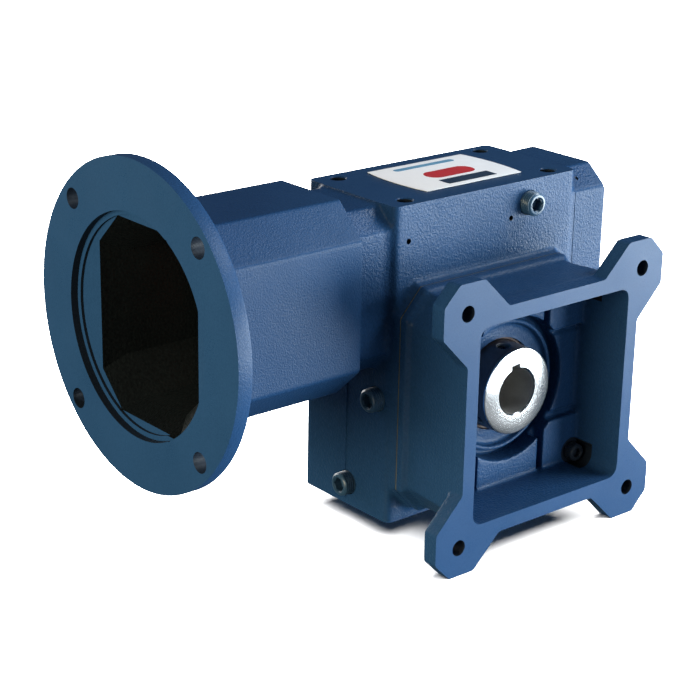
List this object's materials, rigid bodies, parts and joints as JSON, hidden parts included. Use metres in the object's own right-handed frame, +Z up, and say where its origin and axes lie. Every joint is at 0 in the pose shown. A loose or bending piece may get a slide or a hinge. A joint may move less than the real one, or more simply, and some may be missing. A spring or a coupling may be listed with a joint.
{
  "type": "worm gearbox",
  "caption": "Right-angle worm gearbox with a motor bell on the input axis, an open box flange around a hollow keyed output shaft, and a painted cast housing.",
  "frame": {"origin": "centre of the housing bottom face", "axes": "-X out of the motor bell along the worm axis, -Y out of the output flange along the output shaft, +Z up through the housing top"},
  "size_m": [0.2943, 0.1725, 0.2233],
  "materials": {
    "casting_paint": "blue-grey textured enamel on cast iron",
    "ground_steel": "ground",
    "shaft_steel": "turned end face with a dark oxide outside",
    "bearing_steel": "polished",
    "black_oxide": "black oxide",
    "zinc_steel": "dull zinc plate",
    "bare_iron": "machined iron",
    "bronze": "hobbed bronze",
    "seal_rubber": "matt",
    "polyurethane": "satin",
    "gasket": "fibre sheet",
    "label_film": "printed film, no text"
  },
  "bodies": {
    "gearcase": {"housing": "casting_paint", "motor_adapter": "casting_paint", "output_flange": "casting_paint", "rear_cover": "casting_paint", "end_cover": "casting_paint", "adapter_gasket": "gasket", "end_cover_gasket": "gasket", "flange_gasket": "gasket", "rear_cover_gasket": "gasket", "oil_level_plug": "zinc_steel", "oil_side_plug": "zinc_steel", "oil_drain_plug": "zinc_steel", "worm_seal": "seal_rubber", "plate_label": "label_film", "adapter_screw_1": "black_oxide", "end_cover_screw_1": "black_oxide", "flange_screw_1": "black_oxide", "adapter_screw_2": "black_oxide", "end_cover_screw_2": "black_oxide", "flange_screw_2": "black_oxide", "adapter_screw_3": "black_oxide", "end_cover_screw_3": "black_oxide", "flange_screw_3": "black_oxide", "adapter_screw_4": "black_oxide", "end_cover_screw_4": "black_oxide", "flange_screw_4": "black_oxide", "rear_cover_screw_1": "black_oxide", "rear_cover_screw_2": "black_oxide", "rear_cover_screw_3": "black_oxide", "rear_cover_screw_4": "black_oxide", "rear_cover_screw_5": "black_oxide", "rear_cover_screw_6": "black_oxide", "output_seal_front": "seal_rubber", "output_bearing_front_outer_ring": "bearing_steel", "output_seal_rear": "seal_rubber", "output_bearing_rear_outer_ring": "bearing_steel", "worm_bearing_left_outer_ring": "bearing_steel", "worm_bearing_right_outer_ring": "bearing_steel"},
    "output": {"output_shaft": "shaft_steel", "gear_hub": "bare_iron", "gear_rim": "bronze", "gear_key": "ground_steel", "gear_spacer_front": "ground_steel", "gear_spacer_rear": "ground_steel", "output_bearing_front_inner_ring": "bearing_steel", "output_bearing_rear_inner_ring": "bearing_steel", "shaft_set_screw_1": "black_oxide", "shaft_set_screw_2": "black_oxide"},
    "worm": {"worm_shaft": "ground_steel", "coupling_key": "ground_steel", "coupling_hub": "bare_iron", "coupling_spider": "polyurethane", "worm_locknut": "black_oxide", "worm_bearing_left_inner_ring": "bearing_steel", "worm_bearing_right_inner_ring": "bearing_steel"},
    "output_cages": {"output_bearing_front_roller_cage": "bearing_steel", "output_bearing_rear_roller_cage": "bearing_steel"},
    "worm_cages": {"worm_bearing_left_roller_cage": "bearing_steel", "worm_bearing_right_roller_cage": "bearing_steel"}
  },
  "joints": [
    {"name": "output_spin", "type": "hinge", "parent": "gearcase", "child": "output", "pos_m": [0, 0, 0.0692], "axis": [0, 1, 0], "continuous": true},
    {"name": "worm_spin", "type": "hinge", "parent": "gearcase", "child": "worm", "pos_m": [0, 0, 0.1295], "axis": [1, 0, 0], "continuous": true},
    {"name": "output_cage_spin", "type": "hinge", "parent": "gearcase", "child": "output_cages", "pos_m": [0, 0, 0.0692], "axis": [0, 1, 0], "continuous": true},
    {"name": "worm_cage_spin", "type": "hinge", "parent": "gearcase", "child": "worm_cages", "pos_m": [0, 0, 0.1295], "axis": [1, 0, 0], "continuous": true}
  ],
  "couplings": [
    {"joint": "worm_spin", "follows": "output_spin", "ratio": -15},
    {"joint": "output_cage_spin", "follows": "output_spin", "ratio": 0.451},
    {"joint": "worm_cage_spin", "follows": "output_spin", "ratio": -5.982}
  ]
}
